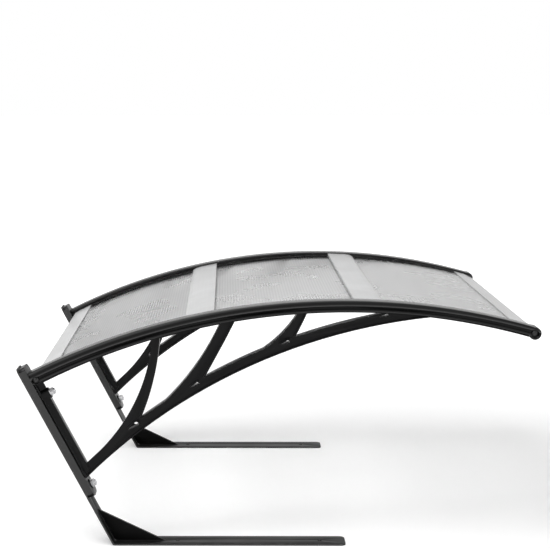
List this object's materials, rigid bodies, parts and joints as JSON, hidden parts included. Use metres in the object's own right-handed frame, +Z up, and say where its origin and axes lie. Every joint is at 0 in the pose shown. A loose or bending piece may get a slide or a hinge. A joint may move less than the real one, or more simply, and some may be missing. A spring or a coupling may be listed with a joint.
{
  "type": "robot mower garage",
  "caption": "Open garage for a small robot mower: bent steel legs, black arched side brackets and a curved clear sheet roof.",
  "frame": {"origin": "on the ground, under the middle of the garage's overall box", "axes": "+X to the garage's right side, +Y to the rear where the legs rise, -Y to the open overhanging front, +Z up"},
  "size_m": [0.77, 0.9704, 0.4708],
  "materials": {
    "black_plastic": "matte",
    "powder_coat": "satin",
    "zinc": "zinc plated",
    "clear_sheet": "translucent twin-wall",
    "frosted_profile": "translucent"
  },
  "bodies": {
    "root": {"leg_left": "powder_coat", "leg_right": "powder_coat", "gusset_left": "powder_coat", "gusset_right": "powder_coat", "bracket_left": "black_plastic", "bracket_right": "black_plastic", "rail_left": "black_plastic", "rail_right": "black_plastic", "lower_bolt_left": "zinc", "lower_bolt_right": "zinc", "lower_nut_left": "zinc", "lower_nut_right": "zinc", "upper_bolt_left": "zinc", "upper_bolt_right": "zinc", "upper_nut_left": "zinc", "upper_nut_right": "zinc", "front_screw_left": "zinc", "front_screw_right": "zinc", "rear_screw_left": "zinc", "rear_screw_right": "zinc", "roof_sheet_rear": "clear_sheet", "roof_sheet_middle": "clear_sheet", "roof_sheet_front": "clear_sheet", "joint_profile_rear": "frosted_profile", "joint_profile_front": "frosted_profile", "rear_strip": "frosted_profile", "front_strip": "frosted_profile"}
  },
  "joints": []
}
